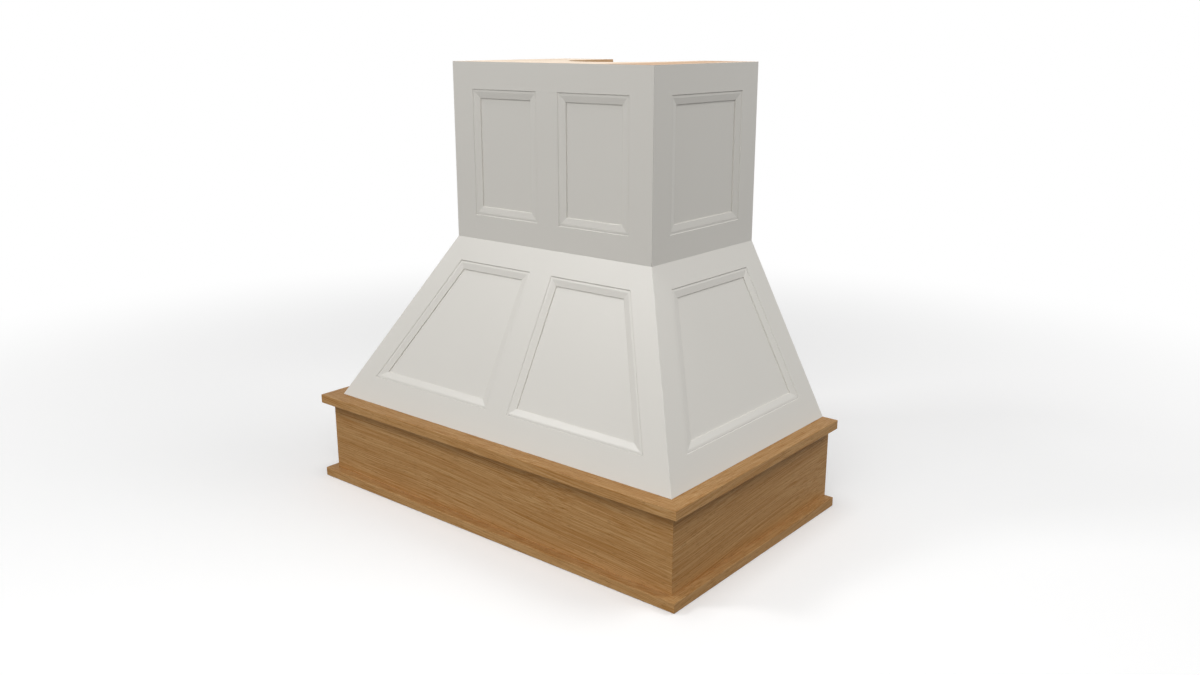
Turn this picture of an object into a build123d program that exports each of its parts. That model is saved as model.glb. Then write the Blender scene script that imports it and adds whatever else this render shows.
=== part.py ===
from build123d import *
import os
from math import atan2, cos, hypot, tan

os.makedirs("parts", exist_ok=True)

# A wall-hung wooden range hood cover: an oak band, a framed flare and a framed chimney.
# Millimetres. X runs across, Y runs back to the wall, Z runs up. The origin is at the
# middle of the underside. Everything ends on the wall plane, and the back is open.

# ---- Oak band -------------------------------------------------------------------
apron_width = 914.4  # across the apron's outside faces
apron_depth = 548.3  # from the apron's front face to the wall
apron_height = 151.5  # between foot and ledge
board_thickness = 19.05  # all solid boards and frames
overhang = 19.05  # foot and ledge stand this far outside the apron
foot_width = 63.5  # width of the foot's boards
ledge_width = 88.9  # width of the ledge's boards
arris_radius = 1.0  # rounding of the outer edges of foot and ledge
corner_ease = 0.6  # flat sanded on the upright corners of apron, flare and chimney

# ---- Painted shell --------------------------------------------------------------
ledge_reveal = 34.1  # ledge left showing round the flare
flare_run = 185.7  # how far each flare face leans in
flare_height = 346.5
chimney_height = 360.4

# ---- Frames and panels ----------------------------------------------------------
stile_width = 56.4
mullion_width = 58.2
chimney_bottom_rail = 51.8
chimney_top_rail = 55.0
flare_bottom_rail = 57.1  # both flare rails are measured along the slope
flare_top_rail = 51.5
panel_thickness = 6.35
panel_recess = 6.0  # from the frame's face back to the panel's face
groove_depth = 9.5  # groove round each opening that holds the panel's edge
panel_play = 0.8  # room left at the panel's edge for the wood to move
tenon_shoulder = 10.0  # frame left beyond a tenon at the end of a stile
fit_gap = 0.2  # glue gap round tenons, boards and cleats

# ---- Panel moulding -------------------------------------------------------------
frame_bevel = 1.3  # small bevel along the frame's edges, down to the moulding's flat
moulding_width = 16.8
moulding_flat = 4.4  # width of the flat, before the moulding's own bevel starts
moulding_lip = 2.1  # height of the moulding's inner edge above the panel
moulding_nose = 0.9  # rounding of that inner edge
quirk_width = 0.25  # narrow groove that sets the moulding off from the frame
quirk_depth = 0.9

# ---- Boards, rails and cleats inside --------------------------------------------
duct_notch_radius = 114.3
duct_notch_centre = 109.0  # from the wall to the centre of the notch's round end
hanging_rail_height = 88.9
housing_depth = 5.0  # the rails' ends are let into the side boards by this much
cleat_width = 25.4
cleat_height = 19.05
corner_block_leg = 40.0
wall_hole_diameter = 6.8
wall_hole_end_distance = 39.2  # from the upper rail's ends, which puts the holes on two studs

# ---- Wood screws ----------------------------------------------------------------
screw_shank_radius = 2.1
screw_head_radius = 4.1
screw_head_height = 2.6
screw_rim = 0.4  # straight rim of the head, above its cone
screw_point = 5.0  # length of the tapered point
screw_recess_width = 2.6
screw_recess_depth = 1.9
screw_cover = 6.0  # wood left beyond the point
screw_gap = 0.1  # drilled this much wider than the screw
screw_end_distance = 60.0  # from the end of a cleat or board to its first screw

# ---- Levels and reaches that follow from the sizes above -------------------------
wall_y = (apron_depth + overhang) / 2
foot_top = board_thickness
ledge_bottom = foot_top + apron_height
ledge_top = ledge_bottom + board_thickness
neck_level = ledge_top + flare_height
top_level = neck_level + chimney_height

apron_half_width = apron_width / 2
band_half_width = apron_half_width + overhang
band_depth = apron_depth + overhang
screw_length = cleat_height + board_thickness - screw_cover

# These carry a cut or an outline clear past the wood, and leave no mark on any piece.
overcut = 4 * board_thickness
small_overcut = 1.0

nodes = {}


class Storey:
    """One level of the painted shell: three framed faces that lean in by `run`."""

    def __init__(self, half_width, depth, base, height, run, bottom_rail, top_rail):
        self.half_width = half_width
        self.depth = depth
        self.base = base
        self.top = base + height
        self.run = run
        self.height = height
        self.slant = hypot(run, height)
        self.lean = atan2(run, height)
        self.bottom_rail = bottom_rail
        self.top_rail = top_rail
        self.wall = board_thickness / cos(self.lean)

    def inside(self, z, gap=0.0):
        """Half width and depth of the hollow at a height, less a gap."""
        shift = self.run * (z - self.base) / self.height + self.wall + gap
        return self.half_width - shift, self.depth - shift

    def plate(self, outline):
        """The whole thickness of one face, mitred at the corners, cut level at both ends."""
        low = outline(self.half_width, self.depth, self.wall, corner_ease)
        high = outline(self.half_width - self.run, self.depth - self.run, self.wall, corner_ease)
        return between(low, self.base, high, self.top)


flare = Storey(
    band_half_width - ledge_reveal,
    band_depth - ledge_reveal,
    ledge_top,
    flare_height,
    flare_run,
    flare_bottom_rail,
    flare_top_rail,
)
chimney = Storey(
    flare.half_width - flare_run,
    flare.depth - flare_run,
    neck_level,
    chimney_height,
    0.0,
    chimney_bottom_rail,
    chimney_top_rail,
)


# ---- Shapes ----------------------------------------------------------------------
def between(low_outline, low, high_outline, high):
    """Flat-sided solid between an outline at one height and an outline at another."""
    bottom = [Vector(x, y, low) for x, y in low_outline]
    top = [Vector(x, y, high) for x, y in high_outline]
    rings = [bottom, top]
    for i in range(len(bottom)):
        rings.append([bottom[i - 1], bottom[i], top[i], top[i - 1]])
    return Solid(Shell([Face(Wire.make_polygon(ring)) for ring in rings]))


def block(low_corner, high_corner):
    """Rectangular piece between two opposite corners."""
    size = [high - low for low, high in zip(low_corner, high_corner)]
    return Pos(*low_corner) * Box(*size, align=Align.MIN)


def rectangle(x0, x1, y0, y1):
    return [(x0, y0), (x1, y0), (x1, y1), (x0, y1)]


def mitred_end(half_width, depth, width, ease):
    """Plan points of the left front corner's mitre, from the inner corner to the outside.

    The outer corner is sanded to a flat of `ease` each way, shared by both boards.
    """
    face = wall_y - depth
    inner = (width - half_width, face + width)
    outer = (ease / 2 - half_width, face + ease / 2)
    return inner, outer


def front_outline(half_width, depth, width, ease):
    """Plan of a front board with mitred ends; `width` is measured back from its face."""
    inner, outer = mitred_end(half_width, depth, width, ease)
    left_end = [inner, outer]
    if ease > 0:
        left_end.append((ease - half_width, wall_y - depth))
    return left_end + [(-x, y) for x, y in reversed(left_end)]


def left_outline(half_width, depth, width, ease):
    """Plan of a left board: mitred at the front, square at the wall."""
    inner, outer = mitred_end(half_width, depth, width, ease)
    end = [inner, (inner[0], wall_y), (-half_width, wall_y)]
    if ease > 0:
        end.append((-half_width, wall_y - depth + ease))
    return end + [outer]


def mirrored(shape):
    """The right-hand twin of a left-hand piece, or the other way round."""
    return mirror(shape, about=Plane.YZ)


def inset(points, distance):
    """Move every side of a convex outline in by one distance, or out if it is negative."""
    corners = [Vector(*point) for point in points]
    moved = []
    for i, corner in enumerate(corners):
        before = corners[i - 1]
        after = corners[(i + 1) % len(corners)]
        normal_in = (corner - before).normalized().rotate(Axis.Z, 90)
        normal_out = (after - corner).normalized().rotate(Axis.Z, 90)
        shift = (normal_in + normal_out) * (distance / (1 + normal_in.dot(normal_out)))
        moved.append(((corner + shift).X, (corner + shift).Y))
    return moved


def layer(plane, points, near, far):
    """Solid under an outline on a face, from one depth below that face to another."""
    return plane.offset(-far) * extrude(Polygon(*points, align=None), far - near)


# ---- Framed faces ----------------------------------------------------------------
# On a face, u runs level and v runs up the slope from the storey's base. On the front
# face u is 0 in the middle; on the left face u is 0 at the wall and grows forwards.
class FramedFace:
    """A face of a storey: its plane, its full plate and how its outlines are laid out."""

    def __init__(self, storey, plane, outline, reach, is_front):
        self.storey = storey
        self.plane = plane
        self.plate = storey.plate(outline)
        self.reach = reach
        self.is_front = is_front
        self.low_edge = storey.bottom_rail
        self.high_edge = storey.slant - storey.top_rail

    def line(self, v, back):
        """u at height v of the line parallel to the face's corner and `back` from it."""
        return self.reach - self.storey.run * v / self.storey.slant - back

    def outline(self, low_v, high_v, inner, back):
        """Outline from an upright side at u = inner to the line `back` from the corner."""
        return [
            (inner, low_v),
            (self.line(low_v, back), low_v),
            (self.line(high_v, back), high_v),
            (inner, high_v),
        ]

    def span(self, low_v, high_v, back):
        """Outline that stays `back` from both ends of the face."""
        if not self.is_front:
            return self.outline(low_v, high_v, back, back)
        low = self.line(low_v, back)
        high = self.line(high_v, back)
        return [(-low, low_v), (low, low_v), (high, high_v), (-high, high_v)]

    def opening(self):
        """The opening for one panel: the right-hand one of two on the front."""
        inner = mullion_width / 2 if self.is_front else stile_width
        return self.outline(self.low_edge, self.high_edge, inner, stile_width)

    def whole(self, points):
        """A frame piece through the face's full thickness."""
        return self.plate & layer(self.plane, points, -overcut, overcut)

    def tongue(self, points):
        """The thin layer in which panels, grooves and tenons lie."""
        return layer(self.plane, points, panel_recess, panel_recess + panel_thickness)

    def cuts(self):
        """What each opening takes out of its frame: the groove and the edges' bevel."""
        opening = self.opening()
        groove = self.tongue(inset(opening, -groove_depth))
        widened = inset(opening, -frame_bevel - small_overcut)
        bevel = self.plane * between(opening, -frame_bevel, widened, small_overcut)
        cut = groove + bevel
        return cut + mirrored(cut) if self.is_front else cut

    def panel(self):
        return self.tongue(inset(self.opening(), panel_play - groove_depth))

    def rails(self):
        """Bottom and top rail with their tenons, and the mortises that the tenons need."""
        # The level cut at the storey's foot climbs the slope as it goes through the wood.
        climb = (panel_recess + panel_thickness) * tan(self.storey.lean)
        slant = self.storey.slant
        bottom = self.whole(self.span(-overcut, self.low_edge, stile_width))
        top = self.whole(self.span(self.high_edge, slant + overcut, stile_width))
        tenon_back = stile_width - groove_depth
        low_tenon = self.span(climb + tenon_shoulder, self.low_edge - groove_depth, tenon_back)
        high_tenon = self.span(self.high_edge + groove_depth, slant - tenon_shoulder, tenon_back)
        cuts = self.cuts()
        rails = [
            body - cuts + self.tongue(inset(tenon, fit_gap))
            for body, tenon in ((bottom, low_tenon), (top, high_tenon))
        ]
        return rails, self.tongue(low_tenon), self.tongue(high_tenon)

    def corner_stile(self):
        """The stile along the corner, from its inner line out past the mitre."""
        low_v = -overcut
        high_v = self.storey.slant + overcut
        return self.whole(
            [
                (self.line(low_v, stile_width), low_v),
                (self.line(low_v, -overcut), low_v),
                (self.line(high_v, -overcut), high_v),
                (self.line(high_v, stile_width), high_v),
            ]
        )

    def moulding(self):
        """Four sticks of moulding round an opening, mitred where they meet."""
        profile = Polygon(
            (0, -panel_recess),
            (moulding_width, -panel_recess),
            (moulding_width, moulding_lip - panel_recess),
            (moulding_flat, -frame_bevel),
            (quirk_width, -frame_bevel),
            (quirk_width, -frame_bevel - quirk_depth),
            (0, -frame_bevel - quirk_depth),
            align=None,
        )
        nose = profile.vertices().group_by(Axis.X)[-1].sort_by(Axis.Y)[-1]
        profile = fillet(nose, moulding_nose)
        opening = self.opening()
        mitre_outer = inset(opening, -overcut)
        mitre_inner = inset(opening, moulding_width + small_overcut)
        sticks = []
        for i, start in enumerate(opening):
            j = (i + 1) % len(opening)
            along = Vector(*opening[j]) - Vector(*start)
            across = along.rotate(Axis.Z, 90)
            stick_plane = Plane(
                origin=self.plane.from_local_coords(Vector(*start)),
                x_dir=self.plane.from_local_coords(across) - self.plane.origin,
                z_dir=self.plane.from_local_coords(along) - self.plane.origin,
            )
            length = along.length + 2 * overcut
            stick = stick_plane.offset(-overcut) * extrude(profile, length)
            mitres = [mitre_outer[i], mitre_outer[j], mitre_inner[j], mitre_inner[i]]
            sticks.append((stick & layer(self.plane, mitres, -overcut, overcut)).solid())
        return Compound(sticks)


def add_pair(name, left_piece):
    """A left-hand piece and its right-hand twin; the name has {} where the side goes."""
    nodes[name.format("left")] = left_piece
    nodes[name.format("right")] = mirrored(left_piece)


def build_sides(storey, name):
    """Left and right face: two stiles, two rails, a panel and its moulding each."""
    plane = Plane(
        origin=(-storey.half_width, wall_y, storey.base),
        x_dir=(0, -1, 0),
        z_dir=(-storey.height, 0, storey.run),
    )
    face = FramedFace(storey, plane, left_outline, storey.depth, is_front=False)
    rails, low_mortise, high_mortise = face.rails()
    cuts = face.cuts() + low_mortise + high_mortise
    back_stile = rectangle(-overcut, stile_width, -overcut, storey.slant + overcut)
    add_pair(name + "_{}_back_stile", face.whole(back_stile) - cuts)
    add_pair(name + "_{}_front_stile", face.corner_stile() - cuts)
    add_pair(name + "_{}_bottom_rail", rails[0])
    add_pair(name + "_{}_top_rail", rails[1])
    add_pair(name + "_{}_panel", face.panel())
    add_pair(name + "_{}_moulding", face.moulding())


def build_front(storey, name):
    """Front face: two stiles, a mullion, two rails, two panels and their mouldings."""
    plane = Plane(
        origin=(0, wall_y - storey.depth, storey.base),
        x_dir=(1, 0, 0),
        z_dir=(0, -storey.height, storey.run),
    )
    face = FramedFace(storey, plane, front_outline, storey.half_width, is_front=True)
    rails, low_mortise, high_mortise = face.rails()
    cuts = face.cuts()
    half = mullion_width / 2
    mullion = face.whole(rectangle(-half, half, face.low_edge, face.high_edge))
    mullion_tenon = rectangle(
        groove_depth - half,
        half - groove_depth,
        face.low_edge - groove_depth,
        face.high_edge + groove_depth,
    )
    mullion_mortise = face.tongue(mullion_tenon)
    nodes[name + "_front_mullion"] = mullion - cuts + face.tongue(inset(mullion_tenon, fit_gap))
    nodes[name + "_front_bottom_rail"] = rails[0] - mullion_mortise
    nodes[name + "_front_top_rail"] = rails[1] - mullion_mortise
    right_stile = face.corner_stile() - cuts - low_mortise - high_mortise
    add_pair(name + "_front_{}_stile", mirrored(right_stile))
    add_pair(name + "_front_{}_panel", mirrored(face.panel()))
    add_pair(name + "_front_{}_moulding", mirrored(face.moulding()))


# ---- Oak band --------------------------------------------------------------------
def build_band(name, half_width, depth, width, low, high, arris, ease):
    """Three boards round the front and sides, mitred at the front corners."""
    front_plan = front_outline(half_width, depth, width, ease)
    left_plan = left_outline(half_width, depth, width, ease)
    front = between(front_plan, low, front_plan, high)
    left = between(left_plan, low, left_plan, high)
    if arris > 0:
        front = fillet(front.edges().filter_by(Axis.X).group_by(Axis.Y)[0], arris)
        left = fillet(left.edges().filter_by(Axis.Y).group_by(Axis.X)[0], arris)
    nodes[name + "_front"] = front
    add_pair(name + "_{}", left)


# ---- Boards, rails and cleats inside ---------------------------------------------
def duct_notch(low, high):
    """The U-shaped way for the duct between two heights, open at the wall."""
    centre_y = wall_y - duct_notch_centre
    upright = (Align.CENTER, Align.CENTER, Align.MIN)
    round_end = Pos(0, centre_y, low) * Cylinder(duct_notch_radius, high - low, align=upright)
    mouth = block(
        (-duct_notch_radius, centre_y, low),
        (duct_notch_radius, wall_y + overcut, high),
    )
    return round_end + mouth


def notched_board(storey, high):
    """A board that fills a storey's hollow just below a height, but for the duct notch."""
    low = high - board_thickness
    outlines = []
    for z in (low, high):
        half_width, depth = storey.inside(z, fit_gap)
        outlines.append(rectangle(-half_width, half_width, wall_y - depth, wall_y))
    board = between(outlines[0], low, outlines[1], high)
    return board - duct_notch(low - small_overcut, high + small_overcut)


def hanging_rail(half_width, low, hole_x):
    """A rail along the wall, with its ends let in by the housings, and the housing's shape."""
    reach = half_width + housing_depth
    front_y = wall_y - board_thickness
    high = low + hanging_rail_height
    rail = block((-reach, front_y, low), (reach, wall_y, high))
    for x in (-hole_x, hole_x):
        hole = Cylinder(wall_hole_diameter / 2, 2 * overcut, rotation=(90, 0, 0))
        rail -= Pos(x, wall_y, (low + high) / 2) * hole
    housing = block(
        (-reach - fit_gap, front_y, low - fit_gap),
        (reach + fit_gap, wall_y + overcut, high + fit_gap),
    )
    return rail, housing


class Cleats:
    """Three battens round a storey's hollow, cut to its walls, with screws through them."""

    def __init__(self, storey, low, back_y):
        self.low = low
        self.high = low + cleat_height
        self.back_y = back_y
        self.low_half, self.low_depth = storey.inside(self.low)
        self.high_half, self.high_depth = storey.inside(self.high)
        self.inner_x = self.low_half - cleat_width
        self.inner_y = wall_y - self.low_depth + cleat_width

    def front(self):
        return between(
            rectangle(-self.low_half, self.low_half, wall_y - self.low_depth, self.inner_y),
            self.low,
            rectangle(-self.high_half, self.high_half, wall_y - self.high_depth, self.inner_y),
            self.high,
        )

    def left(self):
        return between(
            rectangle(-self.low_half, -self.inner_x, self.inner_y, self.back_y),
            self.low,
            rectangle(-self.high_half, -self.inner_x, self.inner_y, self.back_y),
            self.high,
        )

    def front_screws(self):
        y = (wall_y - self.high_depth + self.inner_y) / 2
        end = self.low_half - screw_end_distance
        return [(x, y) for x in spread(-end, end, 3)]

    def left_screws(self):
        x = -(self.high_half + self.inner_x) / 2
        start = self.inner_y + screw_end_distance
        return [(x, y) for y in spread(start, self.back_y - screw_end_distance, 2)]

    def add(self, name, front_board, side_board, downward):
        """Add the battens, screwed to a board in front and to one at each side."""
        left = self.left()
        nodes[name] = Compound([self.front(), left, mirrored(left)])
        z = self.high if downward else self.low
        add_screws(self.front_screws(), z, downward, [name, front_board])
        for side, sign in (("left", 1), ("right", -1)):
            places = [(sign * x, y) for x, y in self.left_screws()]
            add_screws(places, z, downward, [name, side_board.format(side)])


def spread(start, end, count):
    """Evenly spaced places, both ends included."""
    return [start + (end - start) * i / (count - 1) for i in range(count)]


# ---- Wood screws -----------------------------------------------------------------
screws = []


def screw_body(gap=0.0):
    """A countersunk wood screw pointing up, or the hole for it when a gap is given."""
    shank = screw_shank_radius + gap
    head = screw_head_radius + gap
    mouth = -small_overcut if gap else 0.0
    profile = Polygon(
        (0, mouth),
        (head, mouth),
        (head, screw_rim),
        (shank, screw_rim + screw_head_height),
        (shank, screw_length - screw_point),
        (0, screw_length + gap),
        align=None,
    )
    return revolve(Plane.XZ * profile, Axis.Z)


def add_screws(places, z, downward, drilled):
    """Drive screws at plan positions from a surface, and drill the named nodes for them."""
    recess_size = (screw_recess_width, screw_recess_width, 2 * screw_recess_depth)
    screw = screw_body() - Box(*recess_size)
    turn = Rot(180, 0, 0) if downward else Rot(0, 0, 0)
    holes = [Pos(x, y, z) * turn * screw_body(screw_gap) for x, y in places]
    screws.extend(Pos(x, y, z) * turn * screw for x, y in places)
    for name in drilled:
        nodes[name] = nodes[name] - holes


# ---- The whole cover -------------------------------------------------------------
def build_shell():
    build_front(chimney, "chimney")
    build_sides(chimney, "chimney")
    build_front(flare, "flare")
    build_sides(flare, "flare")


def build_oak_band():
    """Foot and ledge boards lie flat with rounded outer edges; the apron stands on edge."""
    flat = (arris_radius, 0.0)
    upright = (0.0, corner_ease)
    build_band("foot", band_half_width, band_depth, foot_width, 0.0, foot_top, *flat)
    build_band("ledge", band_half_width, band_depth, ledge_width, ledge_bottom, ledge_top, *flat)
    apron_sizes = (apron_half_width, apron_depth, board_thickness)
    build_band("apron", *apron_sizes, foot_top, ledge_bottom, *upright)
    mid_board = board_thickness / 2
    side_x = apron_half_width - mid_board
    front_y = wall_y - apron_depth + mid_board
    end_x = apron_half_width - screw_end_distance
    front_places = [(x, front_y) for x in spread(-end_x, end_x, 4)]
    add_screws(front_places, 0.0, False, ["foot_front", "apron_front"])
    start_y = wall_y - apron_depth + screw_end_distance
    for side, x in (("left", -side_x), ("right", side_x)):
        places = [(x, y) for y in spread(start_y, wall_y - screw_end_distance, 3)]
        add_screws(places, 0.0, False, [f"foot_{side}", f"apron_{side}"])


def build_corner_blocks():
    """Triangular glue blocks in the apron's front corners."""
    x = -(apron_half_width - board_thickness)
    y = wall_y - apron_depth + board_thickness
    corner = [(x, y), (x + corner_block_leg, y), (x, y + corner_block_leg)]
    left = between(corner, foot_top, corner, ledge_bottom)
    nodes["apron_corner_blocks"] = Compound([left, mirrored(left)])


def build_inside():
    top_board_underside = top_level - board_thickness
    nodes["top_board"] = notched_board(chimney, top_level)
    nodes["neck_board"] = notched_board(flare, neck_level)

    chimney_half, _ = chimney.inside(neck_level)
    upper_low = top_board_underside - hanging_rail_height
    hole_x = chimney_half + housing_depth - wall_hole_end_distance
    nodes["upper_hanging_rail"], upper_housing = hanging_rail(chimney_half, upper_low, hole_x)
    apron_half = apron_half_width - board_thickness
    nodes["lower_hanging_rail"], lower_housing = hanging_rail(apron_half, foot_top, hole_x)
    for side in ("left", "right"):
        nodes[f"chimney_{side}_back_stile"] -= upper_housing
        nodes[f"apron_{side}"] -= lower_housing

    rail_front = wall_y - board_thickness
    top_cleats = Cleats(chimney, top_board_underside - cleat_height, rail_front)
    top_cleats.add("top_cleats", "top_board", "top_board", downward=False)
    neck_cleats = Cleats(chimney, neck_level, wall_y)
    neck_cleats.add("neck_cleats", "neck_board", "neck_board", downward=True)
    sill_cleats = Cleats(flare, ledge_top, wall_y)
    sill_cleats.add("sill_cleats", "ledge_front", "ledge_{}", downward=True)


build_shell()
build_oak_band()
build_corner_blocks()
build_inside()
nodes["wood_screws"] = Compound(screws)

for name, shape in nodes.items():
    export_step(shape, f"parts/{name}.step")
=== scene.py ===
from math import atan2, radians

import bpy
from bpy.props import FloatProperty, FloatVectorProperty, PointerProperty
from bpy.types import Operator, Panel, PropertyGroup
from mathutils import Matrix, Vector


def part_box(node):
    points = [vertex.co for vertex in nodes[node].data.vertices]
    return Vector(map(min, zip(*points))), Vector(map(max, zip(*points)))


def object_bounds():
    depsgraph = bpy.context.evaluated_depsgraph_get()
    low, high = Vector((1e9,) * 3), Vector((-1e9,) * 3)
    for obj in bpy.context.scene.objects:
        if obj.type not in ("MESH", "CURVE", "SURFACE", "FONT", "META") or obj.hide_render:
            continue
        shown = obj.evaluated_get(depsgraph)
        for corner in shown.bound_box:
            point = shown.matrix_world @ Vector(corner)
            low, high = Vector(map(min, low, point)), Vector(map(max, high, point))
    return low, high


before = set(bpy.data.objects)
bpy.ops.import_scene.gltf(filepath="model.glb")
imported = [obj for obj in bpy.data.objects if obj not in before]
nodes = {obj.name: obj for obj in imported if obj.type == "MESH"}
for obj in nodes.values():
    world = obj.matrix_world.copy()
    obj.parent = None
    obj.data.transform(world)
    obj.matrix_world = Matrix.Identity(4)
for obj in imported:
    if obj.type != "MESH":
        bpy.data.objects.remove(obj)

bl_info = {
    "name": "Wooden Range Hood Cover",
    "version": (1, 0, 0),
    "blender": (4, 5, 0),
    "location": "3D View > Sidebar > Hood Cover",
    "description": "Finishes of a wooden range hood cover, and the stage that shows it",
    "category": "Material",
}

# The cover is a fixed case with one body. Metres; X across, Y back to the wall, Z up.
cad_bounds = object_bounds()

# Which way each face of the shell looks, and the way its rails run.
face_outward = {"front": (0, -1, 0), "left": (-1, 0, 0), "right": (1, 0, 0)}
level_grain = {"front": "X", "left": "Y", "right": "Y"}

# Turns that lay a board's long direction along the figure's own X.
grain_turns = {"X": (0, 0, 0), "Y": (0, 0, radians(-90)), "Z": (0, radians(90), 0)}

# The flare's upright boards lean in towards the chimney, and their grain leans with them.
flare_low, flare_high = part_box("flare_right_panel")
flare_lean = atan2(flare_high.x - flare_low.x, flare_high.z - flare_low.z)
leaning_turns = {
    "front": (flare_lean, radians(90), 0),
    "left": (0, radians(90) - flare_lean, 0),
    "right": (0, radians(90) + flare_lean, 0),
}

# The woods' figures are drawn in millimetres.
mm_per_metre = 1000

# Where the top board lies in its log, in millimetres: its right side is in the heartwood.
top_board_place = Vector((0, 940, 0))

# The oak was sawn a few degrees off its grain, so its lines run out at the boards' edges.
oak_turns = {
    "front": (0, radians(-3), 0),
    "left": (radians(3), 0, radians(-90)),
    "right": (radians(-3), 0, radians(-90)),
}

# A tint that leaves a colour as it is.
no_tint = (1.0, 1.0, 1.0)

# Refractive index of paint, lacquer and wood.
surface_ior = 1.5


# ---- Colours and nodes -----------------------------------------------------------
def linear(code):
    """Linear red, green and blue of an sRGB hex value such as #E4E0DA."""
    channels = [int(code[i:i + 2], 16) / 255 for i in (1, 3, 5)]
    return tuple(c / 12.92 if c <= 0.04045 else ((c + 0.055) / 1.055) ** 2.4 for c in channels)


def opaque(colour):
    return (*colour, 1.0)


def add(tree, kind, inputs=None, **settings):
    """Add a shader node with its settings; `inputs` gives its sockets values or links."""
    node = tree.nodes.new("ShaderNode" + kind)
    node.location.x = 200 * len(tree.nodes)
    for name, value in settings.items():
        setattr(node, name, value)
    for key, value in (inputs or {}).items():
        if isinstance(value, bpy.types.NodeSocket):
            tree.links.new(value, node.inputs[key])
        else:
            node.inputs[key].default_value = value
    return node


# A Mix node has its sockets for floats at 0, 2 and 3, and for colours at 0, 6 and 7.
def mix_values(tree, share, first, second):
    mix = add(tree, "Mix", {0: share, 2: first, 3: second}, data_type="FLOAT")
    return mix.outputs[0]


def mix_colours(tree, share, first, second):
    mix = add(tree, "Mix", {0: share, 6: first, 7: second}, data_type="RGBA")
    return mix.outputs[2]


def maths(tree, operation, *values):
    return add(tree, "Math", dict(enumerate(values)), operation=operation).outputs[0]


def mapped(tree, value, start=(0.0, 1.0), end=(0.0, 1.0), **settings):
    """Turn a value's range `start` into the range `end`."""
    inputs = {"Value": value, 1: start[0], 2: start[1], 3: end[0], 4: end[1]}
    return add(tree, "MapRange", inputs, **settings).outputs[0]


def grain_noise(tree, vector, along, across, detail, **inputs):
    """Noise drawn out along the grain: `along` and `across` are its lengths in millimetres."""
    scale = (1 / along, 1 / across, 1 / across)
    drawn_out = add(tree, "VectorMath", {0: vector, 1: scale}, operation="MULTIPLY")
    return add(tree, "TexNoise", {
        "Vector": drawn_out.outputs[0], "Scale": 1.0, "Detail": detail, **inputs,
    })


def seen_directly(tree):
    """1 on rays from the camera, also where they come by way of a mirror or a clear body."""
    path = add(tree, "LightPath")
    mirrored = maths(tree, "MAXIMUM", path.outputs["Is Camera Ray"], path.outputs["Is Glossy Ray"])
    return maths(tree, "MAXIMUM", mirrored, path.outputs["Is Transmission Ray"])


# ---- Figures of the woods --------------------------------------------------------
def new_figure(name):
    """A node group from figure coordinates in millimetres to colour, roughness and height."""
    tree = bpy.data.node_groups.new(name, "ShaderNodeTree")
    tree.interface.new_socket("Vector", in_out="INPUT", socket_type="NodeSocketVector")
    tree.interface.new_socket("Color", in_out="OUTPUT", socket_type="NodeSocketColor")
    tree.interface.new_socket("Roughness", in_out="OUTPUT", socket_type="NodeSocketFloat")
    tree.interface.new_socket("Height", in_out="OUTPUT", socket_type="NodeSocketFloat")
    vector = tree.nodes.new("NodeGroupInput").outputs["Vector"]
    return tree, vector, tree.nodes.new("NodeGroupOutput")


def oak_figure(oak):
    """Rift-sawn oak: long straight growth lines that drift a little, fine streaks and pores."""
    line_share, band_share, pore_strength = 0.4, 0.1, 0.5
    tone_range, pore_range = (0.37, 0.63), (0.6, 0.72)
    pore_dullness = 0.2
    tree, vector, out = new_figure("Oak figure")
    drift = grain_noise(tree, vector, 600, 200, detail=1.0)
    reach = mm_per_metre * oak.line_drift
    shift = add(tree, "VectorMath", {
        0: drift.outputs["Color"], 1: (0, reach, reach), 2: (0, -reach / 2, -reach / 2),
    }, operation="MULTIPLY_ADD")
    wavy = add(tree, "VectorMath", {0: vector, 1: shift.outputs[0]}, operation="ADD").outputs[0]
    # Growth lines a few millimetres apart, and the slower bands in which they lie.
    spacing = mm_per_metre * oak.line_spacing
    line = grain_noise(tree, wavy, 700, spacing, detail=2.0, Roughness=0.55)
    band = grain_noise(tree, wavy, 1200, 4 * spacing, detail=1.0)
    # Streaks are drawn twice as wide as the pore lines they stand for, so that they show.
    streak = grain_noise(tree, wavy, 220, 1.4, detail=2.0)
    with_lines = mix_values(tree, line_share, streak.outputs["Fac"], line.outputs["Fac"])
    tone = mix_values(tree, band_share, with_lines, band.outputs["Fac"])
    contrast = mapped(tree, tone, tone_range)
    wood = mix_colours(tree, contrast, opaque(oak.light_colour), opaque(oak.dark_colour))
    # Open pores are short dashes along the grain.
    pore = grain_noise(tree, wavy, 16, 0.9, detail=1.0)
    pores = mapped(tree, pore.outputs["Fac"], pore_range)
    pore_share = maths(tree, "MULTIPLY", pores, pore_strength)
    colour = mix_colours(tree, pore_share, wood, opaque(oak.pore_colour))
    gloss = mapped(tree, pores, end=(oak.roughness, oak.roughness + pore_dullness))
    tree.links.new(colour, out.inputs["Color"])
    tree.links.new(gloss, out.inputs["Roughness"])
    tree.links.new(maths(tree, "SUBTRACT", 1.0, pores), out.inputs["Height"])
    return tree


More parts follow.
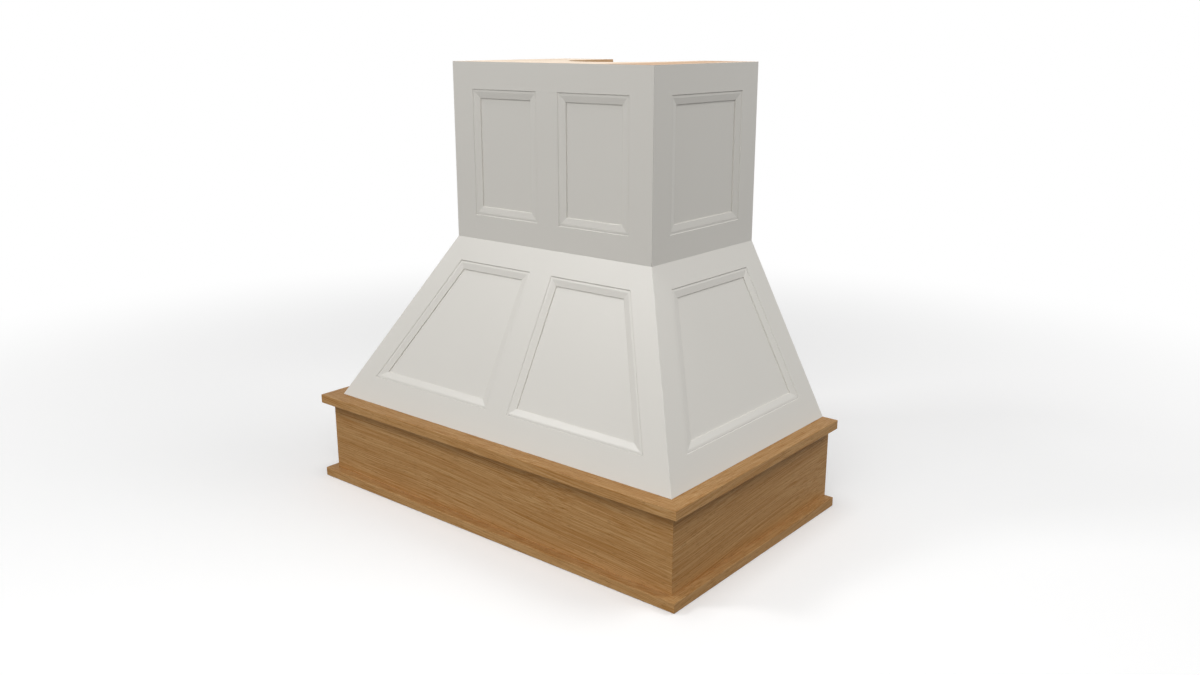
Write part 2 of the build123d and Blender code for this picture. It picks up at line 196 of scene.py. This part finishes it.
def maple_figure(maple):
    """Sanded maple: pale sapwood and tan heartwood, close-grained, with thin brown lines."""
    heartwood_range, line_range, streak_range = (0.49, 0.6), (0.35, 0.75), (0.54, 0.72)
    line_strength, streak_strength = 0.3, 0.5
    gloss_swing = 0.06
    tree, vector, out = new_figure("Maple figure")
    # A wide board passes from sapwood into heartwood across its grain.
    growth = grain_noise(tree, vector, 1800, 170, detail=0.0)
    heartwood = mapped(tree, growth.outputs["Fac"], heartwood_range)
    sapwood_colour = opaque(maple.sapwood_colour)
    ground = mix_colours(tree, heartwood, sapwood_colour, opaque(maple.heartwood_colour))
    line = grain_noise(tree, vector, 150, 2.4, detail=3.0).outputs["Fac"]
    lines = mapped(tree, line, line_range)
    cloud = grain_noise(tree, vector, 320, 26, detail=2.0)
    streaks = mapped(tree, cloud.outputs["Fac"], streak_range)
    line_share = maths(tree, "MULTIPLY", lines, line_strength)
    streak_share = maths(tree, "MULTIPLY", streaks, streak_strength)
    share = maths(tree, "MAXIMUM", line_share, streak_share)
    colour = mix_colours(tree, share, ground, opaque(maple.streak_colour))
    gloss = mapped(tree, line, end=(maple.roughness - gloss_swing, maple.roughness + gloss_swing))
    tree.links.new(colour, out.inputs["Color"])
    tree.links.new(gloss, out.inputs["Roughness"])
    tree.links.new(line, out.inputs["Height"])
    return tree


# ---- Materials -------------------------------------------------------------------
def new_material(name):
    material = bpy.data.materials.new(name)
    material.use_nodes = True
    material.node_tree.nodes.clear()
    return material


def board_place(tree, here, turn, place):
    """Figure coordinates of a board in millimetres, at its own place in the log."""
    return add(tree, "Mapping", {
        "Vector": here.outputs["Object"], "Location": place, "Rotation": turn,
        "Scale": (mm_per_metre, mm_per_metre, mm_per_metre),
    }).outputs["Vector"]


def bare_wood(name, figure, turn, place, relief, sheen, upright=no_tint, level=no_tint):
    """A wood that shows its figure.

    `relief` is how deep its pores are and `sheen` how strongly it mirrors. `upright` and `level`
    tint the faces that stand and the faces that lie; these tints are painted light and shade.
    """
    material = new_material(name)
    tree = material.node_tree
    here = add(tree, "TexCoord")
    wood = add(tree, "Group", node_tree=figure)
    tree.links.new(board_place(tree, here, turn, place), wood.inputs["Vector"])
    bump = add(tree, "Bump", {
        "Height": wood.outputs["Height"], "Strength": 0.6, "Distance": relief,
    })
    # Painted light and shade: standing and lying faces get their own tints, by their facing alone.
    facing = add(tree, "SeparateXYZ", {0: here.outputs["Normal"]})
    lying = maths(tree, "ABSOLUTE", facing.outputs["Z"])
    tint = mix_colours(tree, lying, opaque(upright), opaque(level))
    colour = add(tree, "VectorMath", {0: wood.outputs["Color"], 1: tint}, operation="MULTIPLY")
    shader = add(tree, "BsdfPrincipled", {
        "Base Color": colour.outputs[0], "Roughness": wood.outputs["Roughness"],
        "Normal": bump.outputs["Normal"], "IOR": surface_ior, "Specular IOR Level": sheen,
    })
    add(tree, "OutputMaterial", {"Surface": shader.outputs[0]})
    return material


def sprayed_enamel(name, paint, figure, turn, outward):
    """Sprayed satin enamel on the faces that show, and bare sanded maple elsewhere.

    The inner faces were never sprayed, and the chimney's top edge was sanded flush with the top
    board, so it shows wood right up to its outer corner.
    """
    # The film's darkest tone where it is thin, and how much its sheen varies.
    thin_tone, sheen_swing = 0.972, 0.04
    # The bare edge lies at the cover's very top.
    edge_depth = 0.0003
    material = new_material(name)
    tree = material.node_tree
    here = add(tree, "TexCoord")
    # The spray leaves a faint orange peel, drawn coarser than the real 1 mm so that it shows.
    peel = add(tree, "TexNoise", {
        "Vector": here.outputs["Object"], "Scale": 1 / paint.peel_spacing, "Detail": 2.0,
    }).outputs["Fac"]
    film = add(tree, "TexNoise", {
        "Vector": here.outputs["Object"], "Scale": 1 / paint.drift_spacing, "Detail": 2.0,
    }).outputs["Fac"]
    thin = tuple(thin_tone * c for c in paint.colour)
    coat = mix_colours(tree, film, opaque(paint.colour), opaque(thin))
    sheen = mapped(tree, peel, end=(paint.roughness - sheen_swing, paint.roughness + sheen_swing))
    wood = add(tree, "Group", node_tree=figure)
    tree.links.new(board_place(tree, here, turn, (0, 0, 0)), wood.inputs["Vector"])
    facing = add(tree, "VectorMath", {
        0: here.outputs["Normal"], 1: outward,
    }, operation="DOT_PRODUCT")
    inner = maths(tree, "LESS_THAN", facing.outputs["Value"], -0.5)
    spot = add(tree, "SeparateXYZ", {0: here.outputs["Object"]})
    flush = maths(tree, "GREATER_THAN", spot.outputs["Z"], cad_bounds[1].z - edge_depth)
    bare = maths(tree, "MAXIMUM", inner, flush)
    edge_wood = add(tree, "Group", node_tree=figure)
    edge_place = board_place(tree, here, grain_turns["Y"], top_board_place)
    tree.links.new(edge_place, edge_wood.inputs["Vector"])
    wood_colour = mix_colours(tree, flush, wood.outputs["Color"], edge_wood.outputs["Color"])
    colour = mix_colours(tree, bare, coat, wood_colour)
    gloss = mix_values(tree, bare, sheen, wood.outputs["Roughness"])
    height = mix_values(tree, bare, peel, wood.outputs["Height"])
    # The film rounds every edge a little, which gives the mouldings their soft lines.
    edge = add(tree, "Bevel", {"Radius": paint.edge_radius}, samples=6)
    bump = add(tree, "Bump", {
        "Height": height, "Strength": 0.35, "Distance": paint.peel_height,
        "Normal": edge.outputs["Normal"],
    })
    shader = add(tree, "BsdfPrincipled", {
        "Base Color": colour, "Roughness": gloss, "Normal": bump.outputs["Normal"],
        "IOR": surface_ior,
    })
    add(tree, "OutputMaterial", {"Surface": shader.outputs[0]})
    return material


def give(name, material):
    """Put a material on every slot of a CAD node."""
    slots = nodes[name].material_slots
    if not slots:
        raise RuntimeError(f"{name} has no material slot")
    for slot in slots:
        slot.material = material


# ---- Settings --------------------------------------------------------------------
class HoodCoverPaint(PropertyGroup):
    """Sprayed satin enamel of the flare and the chimney"""

    colour: FloatVectorProperty(
        name="Colour", description="Warm white of the enamel",
        default=linear("#DBD8D1"), min=0, max=1, subtype="COLOR",
    )
    roughness: FloatProperty(
        name="Roughness", description="Satin sheen of the dry film",
        default=0.38, min=0, max=1, subtype="FACTOR",
    )
    peel_spacing: FloatProperty(
        name="Peel spacing", description="Distance between the bumps of the orange peel",
        default=0.004, min=0.0005, subtype="DISTANCE", unit="LENGTH",
    )
    peel_height: FloatProperty(
        name="Peel height", description="Height of the orange peel",
        default=0.00008, min=0, precision=5, subtype="DISTANCE", unit="LENGTH",
    )
    drift_spacing: FloatProperty(
        name="Drift spacing", description="Distance over which the film's thickness drifts",
        default=0.16, min=0.01, subtype="DISTANCE", unit="LENGTH",
    )
    edge_radius: FloatProperty(
        name="Edge radius", description="How far the film rounds an edge",
        default=0.0004, min=0, precision=5, subtype="DISTANCE", unit="LENGTH",
    )


class HoodCoverOak(PropertyGroup):
    """Stained and lacquered oak of the foot, apron and ledge"""

    light_colour: FloatVectorProperty(
        name="Light colour", description="Stained early wood between the dark lines",
        default=linear("#D0A672"), min=0, max=1, subtype="COLOR",
    )
    dark_colour: FloatVectorProperty(
        name="Dark colour", description="Stained late wood",
        default=linear("#AD7A42"), min=0, max=1, subtype="COLOR",
    )
    pore_colour: FloatVectorProperty(
        name="Pore colour", description="Stain that stays in the open pores",
        default=linear("#7C5426"), min=0, max=1, subtype="COLOR",
    )
    line_spacing: FloatProperty(
        name="Line spacing", description="One growth line to the next",
        default=0.003, min=0.001, subtype="DISTANCE", unit="LENGTH",
    )
    line_drift: FloatProperty(
        name="Line drift", description="How far the growth lines drift across the board",
        default=0.035, min=0, subtype="DISTANCE", unit="LENGTH",
    )
    roughness: FloatProperty(
        name="Roughness", description="Satin sheen of the lacquer",
        default=0.44, min=0, max=1, subtype="FACTOR",
    )
    sheen: FloatProperty(
        name="Sheen", description="How strongly the thin lacquer mirrors the room",
        default=0.07, min=0, max=1, subtype="FACTOR",
    )
    pore_depth: FloatProperty(
        name="Pore depth", description="How deep the pores show through the lacquer",
        default=0.00012, min=0, precision=5, subtype="DISTANCE", unit="LENGTH",
    )


class HoodCoverMaple(PropertyGroup):
    """Bare sanded maple of the top board, the neck board, the rails and the cleats"""

    sapwood_colour: FloatVectorProperty(
        name="Sapwood colour", description="Pale ground of the wood",
        default=linear("#F0E0CC"), min=0, max=1, subtype="COLOR",
    )
    heartwood_colour: FloatVectorProperty(
        name="Heartwood colour", description="Tan ground of the wood",
        default=linear("#C6A688"), min=0, max=1, subtype="COLOR",
    )
    streak_colour: FloatVectorProperty(
        name="Streak colour", description="Brown lines and streaks",
        default=linear("#A87444"), min=0, max=1, subtype="COLOR",
    )
    roughness: FloatProperty(
        name="Roughness", description="Dry sanded surface",
        default=0.66, min=0, max=1, subtype="FACTOR",
    )
    sheen: FloatProperty(
        name="Sheen", description="How strongly the dry wood mirrors the room",
        default=0.2, min=0, max=1, subtype="FACTOR",
    )
    sanding_depth: FloatProperty(
        name="Sanding depth", description="Depth of the marks that sanding leaves",
        default=0.00006, min=0, precision=5, subtype="DISTANCE", unit="LENGTH",
    )


class HoodCoverZinc(PropertyGroup):
    """Bright zinc plating of the wood screws"""

    colour: FloatVectorProperty(
        name="Colour", description="Colour of the plating's reflection",
        default=linear("#D2CFC4"), min=0, max=1, subtype="COLOR",
    )
    roughness: FloatProperty(
        name="Roughness", description="Dullness of the plating",
        default=0.3, min=0, max=1, subtype="FACTOR",
    )


class HoodCoverStage(PropertyGroup):
    """Floor, lamps, surround and camera"""

    floor_colour: FloatVectorProperty(
        name="Floor colour", description="Plain pale floor",
        default=(0.86, 0.86, 0.86), min=0, max=1, subtype="COLOR",
    )
    surround_level: FloatProperty(
        name="Surround level", description="Brightness of the room's even light",
        default=0.27, min=0,
    )
    bounce_level: FloatProperty(
        name="Bounce level", description="Brightness of the light that the floor sends back",
        default=0.12, min=0,
    )
    top_power: FloatProperty(
        name="Top lamp", description="Power of the small lamp above the object",
        default=16.1, min=0, subtype="POWER", unit="POWER",
    )
    front_right_power: FloatProperty(
        name="Front right lamp", description="Power of the high lamp at the front right",
        default=36.9, min=0, subtype="POWER", unit="POWER",
    )
    front_left_power: FloatProperty(
        name="Front left lamp", description="Power of the small high lamp that glosses mouldings",
        default=37.8, min=0, subtype="POWER", unit="POWER",
    )
    front_low_power: FloatProperty(
        name="Low front lamp", description="Power of the fill lamp low in front",
        default=16.9, min=0, subtype="POWER", unit="POWER",
    )
    right_power: FloatProperty(
        name="Right lamp", description="Power of the lamp at the right",
        default=12.3, min=0, subtype="POWER", unit="POWER",
    )
    back_power: FloatProperty(
        name="Back lamp", description="Power of the high lamp behind the object at the right",
        default=43.3, min=0, subtype="POWER", unit="POWER",
    )
    camera_place: FloatVectorProperty(
        name="Camera place", description="Where the camera stands",
        default=(1.41354, -1.62464, 0.94409), subtype="XYZ", unit="LENGTH",
    )
    camera_turn: FloatVectorProperty(
        name="Camera turn", description="Which way the camera looks",
        default=(radians(74.371), radians(0.0114), radians(39.3595)), subtype="EULER",
        unit="ROTATION",
    )
    camera_lens: FloatProperty(
        name="Camera lens", description="Focal length in millimetres on a 36 mm sensor",
        default=32.252, min=1, subtype="DISTANCE_CAMERA", unit="CAMERA",
    )


class HoodCoverSettings(PropertyGroup):
    """All settings of the hood cover"""

    paint: PointerProperty(type=HoodCoverPaint)
    oak: PointerProperty(type=HoodCoverOak)
    maple: PointerProperty(type=HoodCoverMaple)
    zinc: PointerProperty(type=HoodCoverZinc)
    stage: PointerProperty(type=HoodCoverStage)


# ---- Operators -------------------------------------------------------------------
class HOODCOVER_OT_paint_shell(Operator):
    """Spray the frames, panels and mouldings of the flare and the chimney"""

    bl_idname = "hood_cover.paint_shell"
    bl_label = "Paint Flare and Chimney"

    def execute(self, context):
        settings = context.scene.hood_cover
        figure = maple_figure(settings.maple)
        coats = {}
        for side, outward in face_outward.items():
            turns = {
                "rails": grain_turns[level_grain[side]],
                "chimney": grain_turns["Z"],
                "flare": leaning_turns[side],
            }
            for boards, turn in turns.items():
                name = f"Sprayed satin enamel, {side}, {boards}"
                coats[side, boards] = sprayed_enamel(name, settings.paint, figure, turn, outward)
        for name in nodes:
            storey, side, *piece = name.split("_")
            if storey in ("flare", "chimney"):
                boards = "rails" if piece[-1] == "rail" else storey
                give(name, coats[side, boards])
        return {"FINISHED"}


class HOODCOVER_OT_finish_oak(Operator):
    """Stain and lacquer the foot, apron and ledge boards"""

    bl_idname = "hood_cover.finish_oak"
    bl_label = "Finish Oak Band"

    # Where each moulding lies in the log, in millimetres, so that no two look alike.
    places = {"foot": (900, 40, -35), "apron": (0, 70, -118), "ledge": (1700, 52, -150)}
    # Painted shade and light: the foot and the ledge are darker on their level faces and paler on
    # their upright edges, standing in for how the light falls on them.
    light_and_shade_tones = {"foot": (1.04, 0.8), "apron": (1.0, 1.0), "ledge": (1.03, 0.74)}

    def execute(self, context):
        oak = context.scene.hood_cover.oak
        figure = oak_figure(oak)
        for moulding, place in self.places.items():
            # Painted light and shade: each face is tinted by whether it stands or lies.
            light_and_shade_tints = [(tone, tone, tone) for tone in self.light_and_shade_tones[moulding]]
            for side, turn in oak_turns.items():
                name = f"Stained lacquered oak, {moulding}, {side}"
                wood = bare_wood(name, figure, turn, place, oak.pore_depth, oak.sheen, *light_and_shade_tints)
                give(f"{moulding}_{side}", wood)
        return {"FINISHED"}


class HOODCOVER_OT_finish_inside(Operator):
    """Leave the top board, neck board, rails, cleats and glue blocks as bare sanded maple"""

    bl_idname = "hood_cover.finish_inside"
    bl_label = "Finish Inside Boards"

    grains = {
        "top_board": "Y",
        "neck_board": "X",
        "upper_hanging_rail": "X",
        "lower_hanging_rail": "X",
        "top_cleats": "X",
        "neck_cleats": "X",
        "sill_cleats": "X",
        "apron_corner_blocks": "Z",
    }
    # The top and neck boards' upright edges, the sawn duct notch among them, are darkened and
    # browned: painted shade, for the shade that falls inside the notch.
    notched = ("top_board", "neck_board")
    notch_shade_tint = (0.87, 0.7, 0.51)
    # From one board's place in the log to the next one's, in millimetres.
    next_place = Vector((230, 71, 47))

    def execute(self, context):
        maple = context.scene.hood_cover.maple
        figure = maple_figure(maple)
        for number, (name, along) in enumerate(self.grains.items()):
            place = top_board_place + number * self.next_place
            title = "Bare sanded maple, " + name.replace("_", " ")
            # Painted shade on the notched boards' upright edges.
            edge = self.notch_shade_tint if name in self.notched else no_tint
            give(name, bare_wood(
                title, figure, grain_turns[along], place, maple.sanding_depth, maple.sheen, edge,
            ))
        return {"FINISHED"}


class HOODCOVER_OT_finish_screws(Operator):
    """Plate the wood screws"""

    bl_idname = "hood_cover.finish_screws"
    bl_label = "Finish Wood Screws"

    # Fineness and tone of the dull clouds in the plating, and how far they shift its roughness.
    cloud_scale, dull_tone = 900.0, 0.82
    gloss_range = (-0.08, 0.12)

    def execute(self, context):
        zinc = context.scene.hood_cover.zinc
        # Zinc-plated steel, barrel plated: bright grey with a slightly uneven sheen.
        material = new_material("Zinc-plated steel, barrel plated")
        tree = material.node_tree
        here = add(tree, "TexCoord")
        cloud = add(tree, "TexNoise", {
            "Vector": here.outputs["Object"], "Scale": self.cloud_scale,
        }).outputs["Fac"]
        dull = tuple(self.dull_tone * c for c in zinc.colour)
        colour = mix_colours(tree, cloud, opaque(zinc.colour), opaque(dull))
        gloss = mapped(tree, cloud, end=[zinc.roughness + step for step in self.gloss_range])
        shader = add(tree, "BsdfPrincipled", {
            "Base Color": colour, "Roughness": gloss, "Metallic": 1.0,
        })
        add(tree, "OutputMaterial", {"Surface": shader.outputs[0]})
        give("wood_screws", material)
        return {"FINISHED"}


class HOODCOVER_OT_set_stage(Operator):
    """Lay the floor, hang the lamps, light the surround and place the camera"""

    bl_idname = "hood_cover.set_stage"
    bl_label = "Set Stage"

    # The floor lies just below the cover and runs out of the picture on every side.
    floor_gap, floor_reach = 0.0005, 40.0
    # Distances between which the floor passes from taking shadow to plain white.
    fade = (1.0, 2.6)
    # Light that the floor gives off near the cover, which brings it close to white.
    floor_lift = 0.16
    # What the lamps point at.
    lamp_target = Vector((0, 0, 0.5))

    def execute(self, context):
        stage = context.scene.hood_cover.stage
        context.scene.view_settings.view_transform = "Standard"
        self.lay_floor(context, stage)
        self.light_surround(context, stage)
        self.hang_lamps(context, stage)
        self.place_camera(context, stage)
        return {"FINISHED"}

    def lay_floor(self, context, stage):
        low = cad_bounds[0].z - self.floor_gap
        signs = ((-1, -1), (1, -1), (1, 1), (-1, 1))
        corners = [(x * self.floor_reach, y * self.floor_reach, low) for x, y in signs]
        mesh = bpy.data.meshes.new("floor")
        mesh.from_pydata(corners, [], [(0, 1, 2, 3)])
        material = new_material("Matt pale floor, painted")
        tree = material.node_tree
        # Near the object the floor takes its shadow; further out it is the white surround.
        here = add(tree, "TexCoord")
        away = add(tree, "VectorMath", {0: here.outputs["Object"]}, operation="LENGTH")
        far = mapped(tree, away.outputs["Value"], self.fade, interpolation_type="SMOOTHSTEP")
        matt = add(tree, "BsdfDiffuse", {"Color": opaque(stage.floor_colour)})
        lift = add(tree, "Emission", {"Strength": self.floor_lift})
        near_look = add(tree, "AddShader", {0: matt.outputs[0], 1: lift.outputs[0]})
        white = add(tree, "Emission", {"Strength": 1.0})
        look = add(tree, "MixShader", {0: far, 1: near_look.outputs[0], 2: white.outputs[0]})
        seen = seen_directly(tree)
        bounce = add(tree, "Emission", {"Strength": stage.bounce_level})
        top = add(tree, "MixShader", {0: seen, 1: bounce.outputs[0], 2: look.outputs[0]})
        clear = add(tree, "BsdfTransparent")
        turned = add(tree, "NewGeometry")
        both = add(tree, "MixShader", {
            0: turned.outputs["Backfacing"], 1: top.outputs[0], 2: clear.outputs[0],
        })
        add(tree, "OutputMaterial", {"Surface": both.outputs[0]})
        mesh.materials.append(material)
        floor = bpy.data.objects.new("floor", mesh)
        context.scene.collection.objects.link(floor)

    def light_surround(self, context, stage):
        world = bpy.data.worlds.new("Studio surround")
        context.scene.world = world
        world.use_nodes = True
        tree = world.node_tree
        tree.nodes.clear()
        seen = seen_directly(tree)
        plain = opaque(no_tint)
        even = add(tree, "Background", {"Color": plain, "Strength": stage.surround_level})
        white = add(tree, "Background", {"Color": plain, "Strength": 1.0})
        mixed = add(tree, "MixShader", {0: seen, 1: even.outputs[0], 2: white.outputs[0]})
        add(tree, "OutputWorld", {"Surface": mixed.outputs[0]})

    def hang_lamps(self, context, stage):
        lamps = {
            "top_lamp": ((0, -0.3, 3.0), 0.9, stage.top_power),
            "front_right_lamp": ((1.6, -2.6, 2.9), 2.4, stage.front_right_power),
            "front_left_lamp": ((-2.2, -2.2, 3.0), 0.8, stage.front_left_power),
            "front_low_lamp": ((0.3, -4.0, 1.0), 2.0, stage.front_low_power),
            "right_lamp": ((3.0, -2.6, 2.2), 2.0, stage.right_power),
            "back_lamp": ((2.0, 1.6, 3.0), 2.0, stage.back_power),
        }
        for name, (place, size, power) in lamps.items():
            light = bpy.data.lights.new(name, "AREA")
            light.shape = "SQUARE"
            light.size = size
            light.energy = power
            lamp = bpy.data.objects.new(name, light)
            lamp.location = place
            aim = self.lamp_target - Vector(place)
            lamp.rotation_euler = aim.to_track_quat("-Z", "Y").to_euler()
            lamp.visible_camera = False
            context.scene.collection.objects.link(lamp)

    def place_camera(self, context, stage):
        camera = bpy.data.cameras.new("camera")
        camera.sensor_fit = "HORIZONTAL"
        camera.sensor_width = 36.0
        camera.lens = stage.camera_lens
        camera.clip_end = 100.0
        stand = bpy.data.objects.new("camera", camera)
        stand.location = stage.camera_place
        stand.rotation_euler = stage.camera_turn
        context.scene.collection.objects.link(stand)
        context.scene.camera = stand


class HOODCOVER_PT_sidebar(Panel):
    """Sidebar panel of the hood cover"""

    bl_label = "Hood Cover"
    bl_space_type = "VIEW_3D"
    bl_region_type = "UI"
    bl_category = "Hood Cover"

    def draw(self, context):
        for operator in operators:
            self.layout.operator(operator.bl_idname)
        settings = context.scene.hood_cover
        for group in (settings.paint, settings.oak, settings.maple, settings.zinc, settings.stage):
            box = self.layout.box()
            box.label(text=group.bl_rna.description)
            for key in group.__annotations__:
                box.prop(group, key)


operators = (
    HOODCOVER_OT_paint_shell,
    HOODCOVER_OT_finish_oak,
    HOODCOVER_OT_finish_inside,
    HOODCOVER_OT_finish_screws,
    HOODCOVER_OT_set_stage,
)
classes = (
    HoodCoverPaint,
    HoodCoverOak,
    HoodCoverMaple,
    HoodCoverZinc,
    HoodCoverStage,
    HoodCoverSettings,
    *operators,
    HOODCOVER_PT_sidebar,
)


def register():
    for cls in classes:
        bpy.utils.register_class(cls)
    bpy.types.Scene.hood_cover = PointerProperty(type=HoodCoverSettings)


def unregister():
    del bpy.types.Scene.hood_cover
    for cls in reversed(classes):
        bpy.utils.unregister_class(cls)


def main():
    register()
    bpy.ops.hood_cover.paint_shell()
    bpy.ops.hood_cover.finish_oak()
    bpy.ops.hood_cover.finish_inside()
    bpy.ops.hood_cover.finish_screws()
    bpy.ops.hood_cover.set_stage()


if __name__ == "__main__":
    main()
